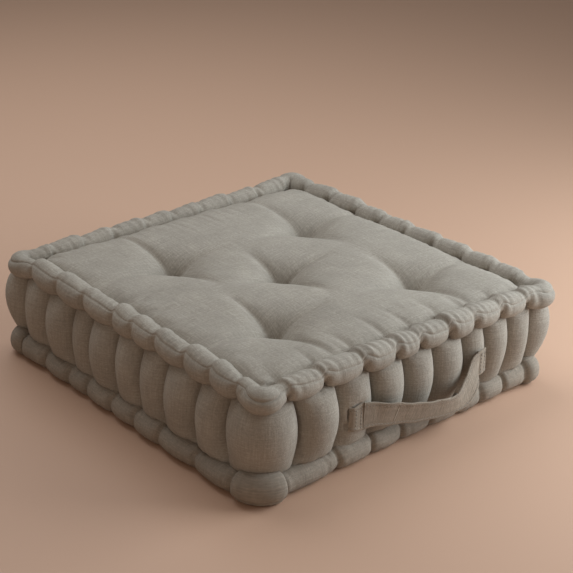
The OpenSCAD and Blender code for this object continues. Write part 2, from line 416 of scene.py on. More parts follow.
def joined(shapes):
    """The points and faces of several shapes as one."""
    points, faces, start = [], [], 0
    for some, more in shapes:
        points.append(some)
        faces += [[i + start for i in face] for face in more]
        start += len(some)
    return np.concatenate(points), faces


# --- materials ---


class Nodes:
    """Short hands for building one material's nodes."""

    def __init__(self, name):
        self.paint = bpy.data.materials.new(name)
        self.paint.use_nodes = True
        self.tree = self.paint.node_tree
        self.shader = self.tree.nodes["Principled BSDF"]

    def put(self, value, socket):
        if isinstance(value, (int, float, tuple)):
            socket.default_value = value
        else:
            self.tree.links.new(value, socket)

    def math(self, operation, a, b=0.0):
        made = self.tree.nodes.new("ShaderNodeMath")
        made.operation = operation
        self.put(a, made.inputs[0])
        self.put(b, made.inputs[1])
        return made.outputs[0]

    def total(self, *terms):
        """Sum of (value, weight) pairs."""
        whole = self.math("MULTIPLY", *terms[0])
        for value, weight in terms[1:]:
            whole = self.math("ADD", whole, self.math("MULTIPLY", value, weight))
        return whole

    def noise(self, x, y, scale_x, scale_y, seed, detail=3.0, rough=0.55):
        """Noise over x and y, whose grain is 1 / scale long each way."""
        place = self.tree.nodes.new("ShaderNodeCombineXYZ")
        self.put(self.math("MULTIPLY", x, scale_x), place.inputs[0])
        self.put(self.math("MULTIPLY", y, scale_y), place.inputs[1])
        place.inputs[2].default_value = seed
        made = self.tree.nodes.new("ShaderNodeTexNoise")
        made.inputs["Scale"].default_value = 1.0
        made.inputs["Detail"].default_value = detail
        made.inputs["Roughness"].default_value = rough
        self.tree.links.new(place.outputs[0], made.inputs["Vector"])
        return made.outputs["Fac"]

    def ramp(self, value, stops):
        made = self.tree.nodes.new("ShaderNodeValToRGB")
        for k, (at, colour) in enumerate(stops):
            stop = made.color_ramp.elements[k] if k < 2 else made.color_ramp.elements.new(at)
            stop.position = at
            stop.color = (*colour, 1)
        self.tree.links.new(value, made.inputs[0])
        return made.outputs[0]

    def bump(self, height, strength, distance):
        made = self.tree.nodes.new("ShaderNodeBump")
        made.inputs["Strength"].default_value = strength
        made.inputs["Distance"].default_value = distance
        self.tree.links.new(height, made.inputs["Height"])
        self.tree.links.new(made.outputs[0], self.shader.inputs["Normal"])


def tinted(colour, gain):
    return tuple(min(1.0, c * gain) for c in colour)


THREAD_PITCH = 1.15 * MM


def cloth_material(name, colour, bump=0.45):
    """Washed slubby plain weave, laid out on the cloth's own coordinates in metres."""
    n = Nodes(name)
    place = n.tree.nodes.new("ShaderNodeUVMap")
    place.uv_map = "cloth"
    split = n.tree.nodes.new("ShaderNodeSeparateXYZ")
    n.tree.links.new(place.outputs[0], split.inputs[0])
    u, v = split.outputs[0], split.outputs[1]
    turns = 2 * math.pi / THREAD_PITCH
    wave_u = n.math("SINE", n.total((u, turns), (n.noise(u, v, 70, 70, 3.1), 10.0)))
    wave_v = n.math("SINE", n.total((v, turns), (n.noise(u, v, 70, 70, 7.7), 10.0)))
    checks = n.math("MULTIPLY", wave_u, wave_v)
    slub_u = n.noise(u, v, 30, 560, 1.0)
    slub_v = n.noise(u, v, 560, 30, 5.0)
    mottle = n.noise(u, v, 330, 330, 9.0, 3.0, 0.7)
    cloud = n.noise(u, v, 13, 13, 2.0)
    worn = n.noise(u, v, 45, 45, 4.0)
    speckle = n.noise(u, v, 800, 800, 11.0, 2.0, 0.6)
    tone = n.total((slub_u, 0.36), (slub_v, 0.32), (mottle, 0.46), (cloud, 0.24), (worn, 0.14),
                   (checks, 0.03), (speckle, 0.20))
    stops = ((0.58, tinted(colour, 0.70)), (1.14, tinted(colour, 1.24)), (0.86, colour))
    n.put(n.ramp(tone, stops), n.shader.inputs["Base Color"])
    crinkle = n.noise(u, v, 150, 150, 13.0, 2.0, 0.5)
    height = n.total((checks, 0.12), (slub_u, 0.8), (slub_v, 0.7), (mottle, 1.0), (crinkle, 1.3))
    n.bump(height, bump, 1.0 * MM)
    n.shader.inputs["Roughness"].default_value = 0.92
    n.shader.inputs["Specular IOR Level"].default_value = 0.2
    n.shader.inputs["Sheen Weight"].default_value = 0.06
    n.shader.inputs["Sheen Roughness"].default_value = 0.6
    n.shader.inputs["Sheen Tint"].default_value = (0.92, 0.88, 0.80, 1)
    return n.paint


def object_place(n):
    """Two coordinates across a piece, neither of them along one of its faces."""
    coords = n.tree.nodes.new("ShaderNodeTexCoord")
    split = n.tree.nodes.new("ShaderNodeSeparateXYZ")
    n.tree.links.new(coords.outputs["Object"], split.inputs[0])
    x = n.math("ADD", split.outputs[0], n.math("MULTIPLY", split.outputs[1], 0.37))
    return x, n.math("ADD", split.outputs[2], n.math("MULTIPLY", split.outputs[1], 0.61))


def fibre_material(name, colour, grain, bump):
    """Loose fibre or twisted thread: fine strands with paler and darker flecks."""
    n = Nodes(name)
    x, y = object_place(n)
    strands = n.noise(x, y, grain, grain * 6, 1.0, 4.0, 0.7)
    flecks = n.noise(x, y, grain * 3, grain * 3, 6.0)
    clumps = n.noise(x, y, 40, 40, 3.0)
    tone = n.total((strands, 0.5), (flecks, 0.25), (clumps, 0.25))
    stops = ((0.3, tinted(colour, 0.72)), (0.7, tinted(colour, 1.15)))
    n.put(n.ramp(tone, stops), n.shader.inputs["Base Color"])
    n.bump(n.total((strands, 1.0), (flecks, 0.5)), bump, 0.5 * MM)
    n.shader.inputs["Roughness"].default_value = 0.95
    n.shader.inputs["Specular IOR Level"].default_value = 0.15
    n.shader.inputs["Sheen Weight"].default_value = 0.3
    return n.paint


LINEN = (0.335, 0.305, 0.262)
COVER = cloth_material("washed_linen", LINEN)
# Painted shade: the lower roll's cloth is the same linen as the cover, set darker and browner to stand in for
# the shade and warm floor bounce under the fluted sides' overhang.
SHADED_LOWER_COVER = cloth_material("washed_linen_lower_painted_shade", (0.275, 0.238, 0.196))
# Painted shade: the strap is folded from the cover's linen, set darker and warmer than the cover to stand in
# for the warm shade on the handle.
SHADED_STRAP_COVER = cloth_material("folded_linen_painted_shade", (0.295, 0.252, 0.204), bump=0.5)
THREAD = fibre_material("cotton_thread", tinted(LINEN, 0.85), grain=900, bump=0.4)
FIBRE = fibre_material("cotton_fibre", (0.70, 0.66, 0.58), grain=240, bump=0.8)


def settle_piece(piece, paint, node):
    """Gives a piece that rides the cushion its material and the node that it stands for."""
    piece.data.materials.append(paint)
    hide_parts(node)
    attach(piece, "cushion")


def thread_piece(name, node, lines, radius, **options):
    """One piece that holds a thread along each of the lines, and stands for the node."""
    piece = add_mesh(name, *joined(tube(line, radius, **options) for line in lines))
    settle_piece(piece, THREAD, node)

# --- rolls ---

AROUND = 36                 # points round a roll
FRONT_REACH = 0.235         # how far from its middle the front's roll is twisted


def bell(distance, width):
    return np.exp(-(distance / width) ** 2)


def side_of(ring, s):
    """Which side each station is on: 0 front, 1 right, 2 back, 3 left."""
    return np.floor((s + ring.side / 2) / ring.side).astype(int) % 4


def wrinkles(rng, ring, stretch, s, to_stitch, angle):
    """Slanting folds that run out of each stitch, over the roll's upper and inner side, about 1 deep."""
    count = len(ring.valleys)
    deep, phase, slant, pitch = (rng.uniform(a, b, count)[stretch][:, None] for a, b in
                                 ((0.6, 1.3), (0, 6.3), (1.4, 2.8), (8.5, 13.5)))
    near = bell(to_stitch, 18 * MM)[:, None]
    upper = np.clip(0.5 + 0.7 * np.sin(angle) - 0.25 * np.cos(angle), 0, 1)
    wave = np.sin(2 * math.pi * s[:, None] / (pitch * MM) + slant * angle + phase)
    return deep * near * upper * (wave + 0.35 * np.sin(2.3 * wave + angle * 2.0 + phase))


def make_roll(seed, ring, centre_z, radius, *, side_waist, top_waist, tip_out, tip_drop, corner_gain, folds,
              seam_deg, thin=0.0, twist_deg=0, sag=(0.0,) * 4, slant=0.0, web=0.0, veer=0.0, flare=None,
              floor=-math.inf):
    """The whole ring of one level's roll: fat between its stitches and drawn in and gathered at each.

    The waists are how fat it still is at a stitch, against the middle. Towards a corner it swings out by
    tip_out, dips by tip_drop, gets thinner by thin, and its beads are fatter by corner_gain. Web is how much
    of a corner its inner side fills, and veer how far the seam swings there. Each side sags between its
    corners. Folds are the depths of the wrinkles on each side, slant is how far a pinch leans along the roll,
    and flare is a function that says how far the roll stands out beyond the square."""
    rng = np.random.default_rng(seed)
    s, marks = ring.stations(2.6 * MM)
    place, out = ring.at(s)
    t, stretch = ring.share(s)
    gap = np.diff(np.append(ring.valleys, ring.valleys[0] + ring.length))[stretch]
    to_stitch = np.minimum(t, 1 - t) * gap
    corner = ring.from_corner(s)
    tip = bell(corner, 14 * MM)
    which = np.floor(s / ring.side).astype(int) % 4
    fold = bell(corner, 36 * MM) * np.array((0.6, 0.3, 0.6, 0.5))[which]
    near_corner = bell(corner, 40 * MM)
    side_place = (s + ring.length / 2) % ring.length - ring.length / 2
    front = np.exp(-(side_place / FRONT_REACH) ** 8)
    turned = veer * (bell(corner, 32 * MM) - 1.4 * bell(corner, 11 * MM))
    twist = np.radians(twist_deg * front + turned + 6 * wander(s, ring.length, seed + 20))
    base_angle = -math.pi / 2 + np.arange(AROUND) / AROUND * 2 * math.pi
    angle = base_angle[None, :] + (twist * np.minimum(1, to_stitch / (12 * MM)))[:, None]
    up = 0.5 * (1 + np.sin(angle))
    ahead, bead = ring.share(s[:, None] + slant * up)
    arch = np.sin(np.pi * ahead) ** (0.68 - 0.2 * up)
    fat = rng.uniform(0.93, 1.06, len(ring.valleys))[bead] * (1 + corner_gain * near_corner)[:, None]
    low = side_waist + (top_waist - side_waist) * up ** 2.2
    size = radius * fat * (low + (1 - low) * arch) * (1 - thin * fold[:, None])
    size *= 1 + web * bell(corner, 18 * MM)[:, None] * np.clip(-np.cos(angle), 0, 1)
    outs = np.array(tip_out)[which]
    side = side_of(ring, s)
    size += wrinkles(rng, ring, stretch, s, to_stitch, angle) * np.array(folds)[side][:, None]
    stand = flare(ring, s) if flare else 0.0
    sway = stand + (1.4 * arch[:, 0] - 0.8) * MM + 1.0 * MM * wander(s, ring.length, seed + 30) + outs * tip
    sags = np.array(sag)[side] * (1 - bell(np.abs(corner), 55 * MM))
    rise = 0.9 * MM * wander(s, ring.length, seed + 40) - tip_drop * fold - sags
    p = np.empty((len(s), AROUND, 3))
    p[..., :2] = place[:, None] + out[:, None] * (size * np.cos(angle) + sway[:, None])[..., None]
    p[..., 2] = centre_z + rise[:, None] + size * np.sin(angle)
    p[..., 2] = np.maximum(p[..., 2], floor)
    p += rng.normal(0, 0.16 * MM, p.shape)
    free = np.ones(p.shape[:2], bool)
    free[marks] = np.sin(base_angle) > 0.25
    seam = int(round((math.radians(seam_deg) + math.pi / 2) / (2 * math.pi) * AROUND))
    gather = bell(to_stitch, 11 * MM)[:, None] * (0.7 + 0.3 * rng.random((len(s), 1)))
    spare_u = 0.03 + 0.09 * gather + np.zeros((1, AROUND))
    spare_v = 0.015 + 0.20 * gather + np.zeros((1, AROUND))
    spare_u[:, seam] -= 0.09
    cloth = Cloth(p, (True, True), free, spare_u, spare_v, shear=0.06, bend=0.07)

    def rest_on_floor(q):
        np.maximum(q[2], floor, out=q[2])

    p = cloth.settle(0.012 * MM, 150, rest_on_floor)
    p = smooth(p, (True, True), free)
    middle = p.mean(1, keepdims=True)
    inward = unit(middle - p[:, seam:seam + 1])
    for beside in (seam - 1, seam + 1):             # close in on both sides of the seam, so that it is crisp
        p[:, beside] = p[:, seam] + 0.45 * (p[:, beside] - p[:, seam])
    p[:, seam:seam + 1] += inward * 1.9 * MM
    p[:, seam + 1:seam + 2] -= inward * 0.35 * MM
    p[..., 2] = np.maximum(p[..., 2], floor)
    flat = np.empty((*p.shape[:2], 2))
    flat[..., 0] = (s * 1.05)[:, None]
    flat[..., 1] = (np.arange(AROUND) * 2 * math.pi * radius / AROUND)[None, :]
    return {"ring": ring, "s": s, "marks": marks, "p": p, "flat": flat, "seam": seam, "radius": radius}


def stretch_of(grid, flat, start, stop, length):
    """Part of a closed ring of points, from one index to another."""
    n = len(grid)
    index = np.arange(start, stop + 1 if stop > start else stop + 1 + n)
    part = flat[index % n].copy()
    part[..., 0] += ((index // n) * length)[:, None]
    return grid[index % n], part


def roll_pieces(level, roll):
    """Four tubes of cloth: the front and back ones carry the corners."""
    cuts = roll["marks"][[-1, PER_SIDE, 2 * PER_SIDE - 1, 3 * PER_SIDE, -1]]
    for side, start, stop in zip(SIDES, cuts, cuts[1:]):
        p, flat = stretch_of(roll["p"], roll["flat"], start, stop, roll["ring"].length * 1.05)
        piece = grid_object(f"{level}_roll_{side}_cloth", p, flat, (False, True), thick=1.2 * MM)
        # the lower roll wears the copy of the linen that carries painted shade
        settle_piece(piece, COVER if level == "top" else SHADED_LOWER_COVER, f"{level}_roll_{side}")


def wadding_piece(level, roll):
    """The rod of fibre inside a roll."""
    p = roll["p"][::2, ::2]
    middle = p.mean(1, keepdims=True)
    p = middle + 0.80 * (p - middle)
    piece = grid_object(f"{level}_roll_wadding_fibre", p, p[..., :2], (True, True))
    settle_piece(piece, FIBRE, f"{level}_roll_wadding")


def dashes(line, out, stitch, space, lift):
    """Short stitches along a line: each rises out of the cloth and goes back in."""
    along = travelled(line)
    found = []
    for start in np.arange(space, along[-1] - stitch, stitch + space):
        at = start + np.linspace(0, stitch, 5)
        mid = np.stack([np.interp(at, along, line[:, k]) for k in range(3)], -1)
        face = np.stack([np.interp(at, along, out[:, k]) for k in range(3)], -1)
        hump = np.array([-1.2, 0.6, 1.0, 0.6, -1.2])[:, None] * lift
        found.append(mid + face * hump)
    return found


def roll_threads(level, roll):
    """The seam's stitches along the roll, and the twine that draws it in at each valley."""
    p, seam = roll["p"], roll["seam"]
    stitches = dashes(p[:, seam], unit(p[:, seam] - p.mean(1)), 3.2 * MM, 1.2 * MM, 0.42 * MM)
    thread_piece(f"{level}_seam_stitches", f"{level}_seam_thread", stitches, 0.34 * MM)
    for k, side in enumerate(SIDES):
        lines = []
        for m in roll["marks"][k * PER_SIDE:(k + 1) * PER_SIDE]:
            low = np.concatenate([p[m, -AROUND // 4:], p[m, :AROUND // 4 + 2]])
            lines.append(low + unit(low - p[m].mean(0)) * 0.5 * MM)
        thread_piece(f"{level}_roll_stitches_{side}", f"{level}_stitches_{side}", lines, 0.6 * MM, plies=3,
                     twist=900.0)


# How far the roll swings out at the corner after each side: front, right, back, left
TOP_OUT = (9 * MM, 9 * MM, 9 * MM, 8 * MM)
BASE_OUT = (7 * MM, 6 * MM, 6 * MM, 3 * MM)
TOP_RING = Ring(ROLL_C, 13 * MM, PINCHES)
BASE_RING = Ring(ROLL_C - 6 * MM, 8 * MM, TIES)
TOP_SAG = (1.5 * MM, 2.5 * MM, 6.5 * MM, 1.5 * MM)
TOP_FOLDS = (1.7 * MM, 0.7 * MM, 0.9 * MM, 0.5 * MM)
BASE_FOLDS = (0.8 * MM,) * 4


def flare(ring, s):
    """How far the lower edge stands out beyond the square: most on both sides of the front corner."""
    sides_past = (s / ring.side + 0.5) % 4
    return np.interp(sides_past, (0, 0.08, 1, 2, 3, 3.92, 4), (12, 9, -3, 0, 5, 15, 12)) * MM


top_roll = make_roll(
    11, TOP_RING, TOP_Z, 17.0 * MM, side_waist=0.32, top_waist=0.80, tip_out=TOP_OUT, tip_drop=9 * MM,
    corner_gain=-0.05, thin=0.36, twist_deg=-20, sag=TOP_SAG, folds=TOP_FOLDS, slant=8 * MM, seam_deg=52,
    web=0.75, veer=26)
base_roll = make_roll(
    12, BASE_RING, BASE_Z - 1.5 * MM, 15.8 * MM, side_waist=0.60, top_waist=0.58, tip_out=BASE_OUT,
    tip_drop=-2 * MM, corner_gain=0.15, folds=BASE_FOLDS, seam_deg=-40, flare=flare, floor=0.3 * MM)
for level_name, made_roll in (("top", top_roll), ("bottom", base_roll)):
    roll_pieces(level_name, made_roll)
    wadding_piece(level_name, made_roll)
    roll_threads(level_name, made_roll)

# --- panels ---

PANEL_POINTS = 161


def between_valleys(along, side, half):
    """0 at a valley's stitch and 1 half way between two, for places along one edge of a panel."""
    v = np.concatenate([[-half - 25 * MM], np.array(PINCHES[side]) * MM, [half + 25 * MM]])
    k = np.clip(np.searchsorted(v, along) - 1, 0, len(v) - 2)
    return np.sin(np.pi * np.clip((along - v[k]) / (v[k + 1] - v[k]), 0, 1)) ** 0.6


def tucked_in(roll, edge):
    """The same edge, moved to just under the roll's cloth wherever it would stand clear of it."""
    middle = roll["p"].mean(1)
    k = np.argmin(np.linalg.norm(middle[None, :, :2] - edge[:, None, :2], axis=2), 1)
    away = edge - middle[k]
    spokes = roll["p"][k] - middle[k][:, None]
    reach = np.linalg.norm(spokes, axis=2)
    nearest = np.argmax((spokes * away[:, None]).sum(2) / reach, 1)
    limit = 0.8 * reach[np.arange(len(edge)), nearest]
    return middle[k] + away * np.minimum(1, limit / np.linalg.norm(away, axis=1))[:, None]


def make_panel(seed, up, plane_z, roll, axis_z, radius, crown, depth, crease, lift, push, floor=-math.inf):
    """A square of cloth tied down at the tufts and stitched to the roll all round.

    up is 1 for the top and -1 for the bottom. The cloth stands crown past plane_z between its tufts and is
    depth below it at each. Lift is how far each edge is past the roll's axis, in mm."""
    ring = roll["ring"]
    half = ring.half - (0.64 if up > 0 else 0.84) * radius
    line = np.linspace(-half, half, PANEL_POINTS)
    x, y = np.meshgrid(up * line, line, indexing="ij")
    rng = np.random.default_rng(seed)
    dome = (1 - (x / half) ** 4) * (1 - (y / half) ** 4)
    height = crown * dome
    spare = np.full(x.shape, 0.016)
    taut_u, taut_v = np.zeros_like(x), np.zeros_like(x)
    free = np.ones(x.shape, bool)
    pits = []
    for tuft in (TOP_TUFTS if up > 0 else TUFTS).values():
        dx, dy = x - tuft.x, y - tuft.y
        d = np.hypot(dx, dy)
        wide = np.hypot(dx + 4 * MM, dy + 8 * MM)
        height -= (depth + crown) * (0.54 * np.exp(-d / (8 * MM)) + 0.46 * np.exp(-wide / (36 * MM)))
        for near, far in ((np.abs(dy), np.abs(dx)), (np.abs(dx), np.abs(dy))):
            fold = np.exp(-near / (5 * MM) - far / (38 * MM))
            height -= crease * fold * (1 - np.exp(-far / (9 * MM)))
        taut_u += np.exp(-(dy / (4 * MM)) ** 2 - (dx / (60 * MM)) ** 2)
        taut_v += np.exp(-(dx / (4 * MM)) ** 2 - (dy / (60 * MM)) ** 2)
        spare += 0.03 * bell(d, 26 * MM)
        spot = d < 2.4 * MM
        spot[np.unravel_index(np.argmin(d), d.shape)] = True
        pits.append((spot, tuft))
    p = np.stack([x, y, plane_z + up * height], -1)
    facing = {"front": (1, -1), "back": (1, 1), "right": (0, 1), "left": (0, -1)}       # axis and sign
    shift, share = np.zeros_like(x), np.full(x.shape, 1e-6)
    clear = np.full(x.shape, 0.6 * radius)
    for side, (axis, sign) in facing.items():
        toward, along = sign * (x, y)[axis], (x, y)[1 - axis]
        puff = between_valleys(along * (-sign if axis else sign), side, half)
        depth_in = half - toward
        edge = (axis_z - plane_z) * up + lift[side] * MM - (1 - puff) * (4 if side == "front" else 2) * MM
        reach = (18 if side == "front" else 12) * MM * (0.75 + 0.25 * puff)
        near = np.exp(-depth_in / reach)
        weight = near ** 2 + 1e-9
        shift, share = shift + edge * near * weight, share + weight
        beside = toward > np.abs(along)
        clear[beside] = (radius * (0.45 + 0.51 * puff))[beside]
    p[..., 2] += up * shift / share
    if up > 0:
        tip = np.clip(1 - np.hypot(half - np.abs(x), half - np.abs(y)) / (42 * MM), 0, 1)
        p[..., :2] *= (1 + 0.035 * tip)[..., None]
        p[..., 2] -= 7 * MM * tip
    for axis, sign in facing.values():
        row = 0 if sign * (1 if axis else up) < 0 else -1
        where = (slice(None), row) if axis else (row, slice(None))
        near = np.exp(-(half - sign * (x, y)[axis]) / (8 * MM))[..., None]
        move = tucked_in(roll, p[where]) - p[where]
        p += near * (move[:, None] if axis == 1 else move[None])
        free[where] = False
    for spot, tuft in pits:
        p[spot, 2] = plane_z - up * depth
        free[spot] = False
    p[..., 2] = np.maximum(p[..., 2], floor)
    p += rng.normal(0, 0.12 * MM, p.shape) * free[..., None]
    rim = np.maximum(np.abs(x), np.abs(y))
    spare += 0.02 * np.exp(-(half - rim) / (14 * MM))
    spare_u, spare_v = spare - 0.08 * taut_u, spare - 0.08 * taut_v
    cloth = Cloth(p, (False, False), free, spare_u, spare_v, shear=0.04, bend=0.05)

    def keep_clear(q):
        for axis in (0, 1):
            over = np.abs(q[axis]) - ring.half
            dz = q[2] - axis_z
            d = np.sqrt(over ** 2 + dz ** 2) + 1e-9
            inside = (d < clear) & free & (over < 0)
            grow = np.where(inside, clear / d, 1)
            q[axis] = np.where(inside, np.sign(q[axis]) * (ring.half + over * grow), q[axis])
            q[2] = np.where(inside, axis_z + dz * grow, q[2])
        np.maximum(q[2], floor, out=q[2])

    p = cloth.settle(push, 170, keep_clear)
    p = smooth(p, (False, False), free)
    return p, np.stack([x, y], -1) * 1.04


# How many mm over the roll's axis each edge is sewn
TOP_LIFT = {"front": 9, "left": 9, "right": 1, "back": -3}
BASE_LIFT = {"front": 5, "left": 5, "right": 5, "back": 5}
TUFT_DEPTH = 36 * MM
BASE_DEPTH = 21 * MM
TOP_PLANE, BASE_PLANE = PANEL_Z - 9 * MM, 3 * MM
TOP_SHEET = make_panel(21, 1, TOP_PLANE, top_roll, TOP_Z, 16.5 * MM, crown=9 * MM, depth=TUFT_DEPTH,
                       crease=11 * MM, lift=TOP_LIFT, push=0.008 * MM)
BASE_SHEET = make_panel(22, -1, BASE_PLANE, base_roll, BASE_Z, 14 * MM, crown=0.0, depth=BASE_DEPTH,
                        crease=3 * MM, lift=BASE_LIFT, push=0.006 * MM, floor=0.4 * MM)
for level_name, (points, flat_places) in (("top", TOP_SHEET), ("bottom", BASE_SHEET)):
    panel = grid_object(f"{level_name}_panel_cloth", points, flat_places, thick=1.2 * MM)
    settle_piece(panel, COVER, f"{level_name}_panel")

# --- fluted sides ---

BOX_LOW, BOX_HIGH = BASE_Z + 9 * MM, TOP_Z - 9 * MM
BOX_ROWS = 33
TABS = {side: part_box("handle_tab_" + side) for side in ("left", "right")}
# How far the column of cloth at the corner after each side swells out: front, right, back, left
COLUMN = (44 * MM, 42 * MM, 50 * MM, 52 * MM)
FLUTE = 25 * MM


def make_boxing():
    """The wall of cloth, gathered into flutes by a line of stitches down each valley."""
    ring = Ring(ROLL_C - 6 * MM, 12 * MM, VALLEYS)
    rng = np.random.default_rng(31)
    s, marks = ring.stations(2.9 * MM, 60 * MM)
    t, stretch = ring.share(s)
    corner = stretch % PER_SIDE == PER_SIDE - 1
    share_z = np.linspace(0, 1, BOX_ROWS)
    z = BOX_LOW + (BOX_HIGH - BOX_LOW) * share_z
    barrel = np.sin(np.pi * share_z ** 1.2) ** 0.62
    toward = np.zeros(len(marks))
    toward[PER_SIDE - 1::PER_SIDE] = 12 * MM
    toward[::PER_SIDE] = -12 * MM
    first, facing = ring.at(ring.valleys[:, None] + toward[:, None] * (1 - barrel))
    first = first + facing * (flare(ring, ring.valleys)[:, None] * 0.75 * (1 - share_z) ** 1.5)[..., None]
    second = np.roll(first, -1, 0)
    chord = np.linalg.norm(second - first, axis=2)
    along = (second - first) / chord[..., None]
    outward = np.stack([along[..., 1], -along[..., 0]], -1)
    wide = chord[:, BOX_ROWS // 2]
    tall = FLUTE * np.clip(wide / (52 * MM), 0.75, 1.1) * rng.uniform(0.95, 1.03, len(marks))
    tall[1] *= 0.84
    tall[PER_SIDE - 1::PER_SIDE] = COLUMN
    least = np.full((len(marks), 1), 0.08)
    least[PER_SIDE - 1::PER_SIDE] = 0.30
    rise = (tall[:, None] * (least + (1 - least) * barrel[None, :]))[stretch]
    width = chord[stretch]
    radius = (width ** 2 / 4 + rise ** 2) / (2 * rise)
    half_turn = np.arcsin(np.clip(width / 2 / radius, 0, 1))
    half_turn = np.where(rise < radius, half_turn, math.pi - half_turn)
    turn = (2 * t[:, None] - 1) * half_turn
    middle = ((first + second) / 2)[stretch]
    p = np.empty((len(s), BOX_ROWS, 3))
    p[..., :2] = (middle + outward[stretch] * (rise - radius + radius * np.cos(turn))[..., None]
                  + along[stretch] * (radius * np.sin(turn))[..., None])
    p[..., 2] = z[None, :]
    gap = np.where(corner, 60 * MM, 30 * MM) + wide[stretch]
    to_valley = np.minimum(t, 1 - t) * gap
    lean = np.zeros(p.shape[:2])
    for k in range(len(marks)):
        bow = rng.uniform(-2.0, 2.0) * MM
        bow = bow * np.sin(np.pi * share_z * rng.uniform(0.8, 1.6) + rng.uniform(0, 1))
        beside = (stretch == k) * (1 - t) + (stretch == (k - 1) % len(marks)) * t
        lean += (beside ** 2)[:, None] * bow[None, :]
    p[..., :2] += along[stretch] * lean[..., None]
    p += rng.normal(0, 0.12 * MM, p.shape)
    free = np.ones(p.shape[:2], bool)
    free[marks] = False
    free[:, [0, -1]] = False
    by_the_rolls = np.exp(-np.minimum(share_z, 1 - share_z) / 0.10)[None, :]
    spare_u = 0.025 + 0.12 * by_the_rolls + np.zeros((len(s), 1))
    spare_v = 0.02 + 0.03 * bell(to_valley, 6 * MM)[:, None] + np.zeros((1, BOX_ROWS))
    in_front = p[..., 1] < -0.2
    for low, high in TABS.values():
        away = np.hypot(p[..., 0] - (low.x + high.x) / 2, (p[..., 2] - (low.z + high.z) / 2) * 0.7)
        spare_v += 0.10 * bell(away, 22 * MM) * in_front
    low, high = TABS["left"]
    under = in_front & (p[..., 0] > low.x) & (p[..., 0] < high.x) & ((z > low.z) & (z < high.z))[None, :]
    slit = in_front & (np.abs(p[..., 0] - low.x + 2.2 * MM) < 1.5 * MM)
    slit &= ((z > low.z + 3 * MM) & (z < high.z - 3 * MM))[None, :]
    for row in (low.x + 4 * MM, high.x - 4 * MM):
        line = under & (np.abs(p[..., 0] - row) < 1.6 * MM)
        p[line, 1] = high.y + 0.9 * MM
        free[line] = False
    cloth = Cloth(p, (True, False), free, spare_u, spare_v, shear=0.07, bend=0.07)

    def under_left_tab(q):
        q[1][under] = np.maximum(q[1][under], high.y + 0.2 * MM)

    p = cloth.settle(0.010 * MM, 130, under_left_tab)
    p = smooth(p, (True, False), free)
    p[slit, 1] += 6 * MM
    flat = np.empty((*p.shape[:2], 2))
    run = np.linalg.norm(np.roll(p[:, BOX_ROWS // 2], -1, 0) - p[:, BOX_ROWS // 2], axis=1)
    flat[..., 0] = np.concatenate([[0], np.cumsum(run[:-1])])[:, None]
    flat[..., 1] = (z * 1.2)[None, :]
    facing_out = outward[stretch, BOX_ROWS // 2]
    return {"marks": marks, "p": p, "flat": flat, "around": run.sum(), "out": facing_out}


def boxing_pieces(box):
    """Two strips of cloth, joined in the valleys beside the right and left corners."""
    marks = box["marks"]
    cuts = {"front": (marks[3 * PER_SIDE], marks[PER_SIDE]), "rear": (marks[PER_SIDE], marks[3 * PER_SIDE])}
    for name, (start, stop) in cuts.items():
        p, flat = stretch_of(box["p"], box["flat"], start, stop, box["around"])
        piece = grid_object(f"boxing_{name}_cloth", p, flat, thick=1.2 * MM)
        settle_piece(piece, COVER, f"boxing_{name}_strip")


def valley_threads(box):
    """Stitches down each valley."""
    p, marks = box["p"], box["marks"]
    out = box["out"] + np.roll(box["out"], 1, 0)
    for k, side in enumerate(SIDES):
        lines = []
        for m in marks[k * PER_SIDE:(k + 1) * PER_SIDE]:
            rows = slice(3, BOX_ROWS - 3)
            face = np.tile([*out[m], 0.0], (BOX_ROWS - 6, 1))
            lines += dashes(p[m, rows], face, 6.0 * MM, 5.0 * MM, 0.6 * MM)
        thread_piece(f"flute_stitches_{side}", f"valley_stitches_{side}", lines, 0.5 * MM)


boxing = make_boxing()
boxing_pieces(boxing)
valley_threads(boxing)

# --- filling and tufting twine ---


def height_at(sheet, tufts, x, y):
    """Height of a panel at plan places x and y, and a share that falls from 1 at a tuft to 0 away from it."""
    p = sheet[0]
    if p[0, 0, 0] > p[-1, 0, 0]:
        p = p[::-1]
    first, last = p[2, 2, :2], p[-3, -3, :2]
    n = len(p) - 5
    i = np.clip((x - first[0]) / (last[0] - first[0]) * n, 0, n).astype(int) + 2
    j = np.clip((y - first[1]) / (last[1] - first[1]) * n, 0, n).astype(int) + 2
    nearest = np.min([np.hypot(x - t.x, y - t.y) for t in tufts.values()], 0)
    return p[i, j, 2], bell(nearest, 24 * MM)


def make_filling():
    """The mass of fibre: the cover's own form, a little smaller all round."""
    inside = 5 * MM
    wall = boxing["p"][::4, 5:-5:3].copy()
    reach = np.linalg.norm(wall[..., :2], axis=2)
    least = np.min([np.roll(reach, k, 0) for k in (-2, -1, 0, 1, 2)], 0)
    wall[..., :2] *= ((least - inside) / reach)[..., None]
    rings = [wall[:, k] for k in range(wall.shape[1])]
    for sheet, tufts, way in ((TOP_SHEET, TOP_TUFTS, 1), (BASE_SHEET, TUFTS, -1)):
        rim = rings[-1]
        for share in (0.93, 0.88, *np.arange(0.82, 0.08, -0.06), 0.03):
            some = rim.copy()
            some[:, :2] *= share
            level, tufted = height_at(sheet, tufts, some[:, 0], some[:, 1])
            some[:, 2] = level - way * (inside + 18 * MM * tufted + (9 * MM if share > 0.84 else 0))
            rings.append(some)
        rings.reverse()
    grid = np.stack(rings, 1)
    n, rows = grid.shape[:2]
    faces = grid_faces(n, rows, (True, False))[0].tolist()
    points = np.concatenate([grid.reshape(-1, 3), grid[:, :1].mean(0), grid[:, -1:].mean(0)])
    for k in range(n):
        faces.append([n * rows, ((k + 1) % n) * rows, k * rows])
        faces.append([n * rows + 1, k * rows + rows - 1, ((k + 1) % n) * rows + rows - 1])
    piece = add_mesh("core_filling_fibre", points, faces)
    settle_piece(piece, FIBRE, "core_filling")


